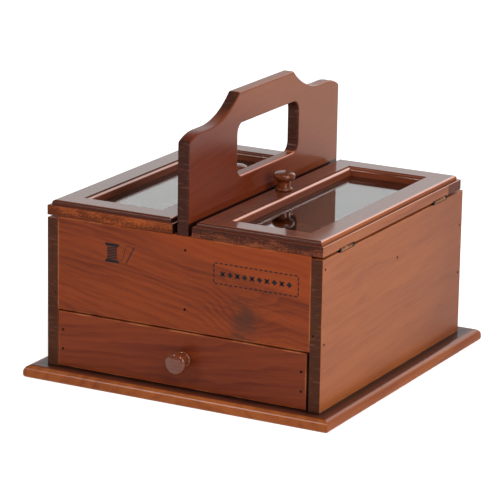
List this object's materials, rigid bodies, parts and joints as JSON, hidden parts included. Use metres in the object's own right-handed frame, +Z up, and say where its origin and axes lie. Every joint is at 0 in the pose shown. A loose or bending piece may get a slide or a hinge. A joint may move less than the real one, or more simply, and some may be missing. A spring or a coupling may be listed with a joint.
{
  "type": "sewing box",
  "caption": "Wooden carry box with a drawer below, hinged glazed lids above and a cut-out handle board between them.",
  "frame": {"origin": "middle of the underside of the base board, with the drawer knob counted in the depth", "axes": "+Z up, the drawer front faces -Y, the right lid is at +X"},
  "size_m": [0.268, 0.2812, 0.2282],
  "materials": {
    "case_wood": "stained, satin varnish",
    "base_wood": "stained, gloss varnish",
    "lid_wood": "stained, satin varnish",
    "handle_wood": "stained, satin varnish",
    "inner_wood": "stained, thinly varnished",
    "inner_ply": "stained plywood",
    "turned_wood": "stained, gloss varnish",
    "glass": "clear",
    "hinge_brass": "dull, tarnished",
    "nail_steel": "dark"
  },
  "bodies": {
    "case": {"base_board": "base_wood", "base_screws": "nail_steel", "case_brads": "nail_steel", "compartment_floor": "inner_ply", "front_panel": "case_wood", "handle_board": "handle_wood", "left_case_hinge_screws": "nail_steel", "left_cross_divider": "inner_wood", "left_front_hinge_case_leaf": "hinge_brass", "left_front_hinge_pin": "hinge_brass", "left_rear_hinge_case_leaf": "hinge_brass", "left_rear_hinge_pin": "hinge_brass", "left_side_panel": "case_wood", "rear_panel": "case_wood", "right_case_hinge_screws": "nail_steel", "right_cross_divider": "inner_wood", "right_front_hinge_case_leaf": "hinge_brass", "right_front_hinge_pin": "hinge_brass", "right_rear_hinge_case_leaf": "hinge_brass", "right_rear_hinge_pin": "hinge_brass", "right_side_panel": "case_wood"},
    "drawer": {"drawer_back": "inner_wood", "drawer_bottom": "inner_ply", "drawer_brads": "nail_steel", "drawer_front": "case_wood", "drawer_knob": "turned_wood", "drawer_knob_screw": "nail_steel", "drawer_left_side": "inner_wood", "drawer_right_side": "inner_wood"},
    "left_lid": {"left_front_hinge_lid_leaf": "hinge_brass", "left_lid_front_rail": "lid_wood", "left_lid_glass": "glass", "left_lid_glass_strips": "lid_wood", "left_lid_hinge_screws": "nail_steel", "left_lid_inner_stile": "lid_wood", "left_lid_knob": "turned_wood", "left_lid_knob_screw": "nail_steel", "left_lid_outer_stile": "lid_wood", "left_lid_rear_rail": "lid_wood", "left_rear_hinge_lid_leaf": "hinge_brass"},
    "right_lid": {"right_front_hinge_lid_leaf": "hinge_brass", "right_lid_front_rail": "lid_wood", "right_lid_glass": "glass", "right_lid_glass_strips": "lid_wood", "right_lid_hinge_screws": "nail_steel", "right_lid_inner_stile": "lid_wood", "right_lid_knob": "turned_wood", "right_lid_knob_screw": "nail_steel", "right_lid_outer_stile": "lid_wood", "right_lid_rear_rail": "lid_wood", "right_rear_hinge_lid_leaf": "hinge_brass"}
  },
  "joints": [
    {"name": "drawer_slide", "type": "slide", "parent": "case", "child": "drawer", "axis": [0, -1, 0], "range_m": [0, 0.18]},
    {"name": "right_lid_hinge", "type": "hinge", "parent": "case", "child": "right_lid", "pos_m": [0.11925, 0, 0.13005], "axis": [0, 1, 0], "range_deg": [0, 100]},
    {"name": "left_lid_hinge", "type": "hinge", "parent": "case", "child": "left_lid", "pos_m": [-0.11925, 0, 0.13005], "axis": [0, -1, 0], "range_deg": [0, 100]}
  ]
}
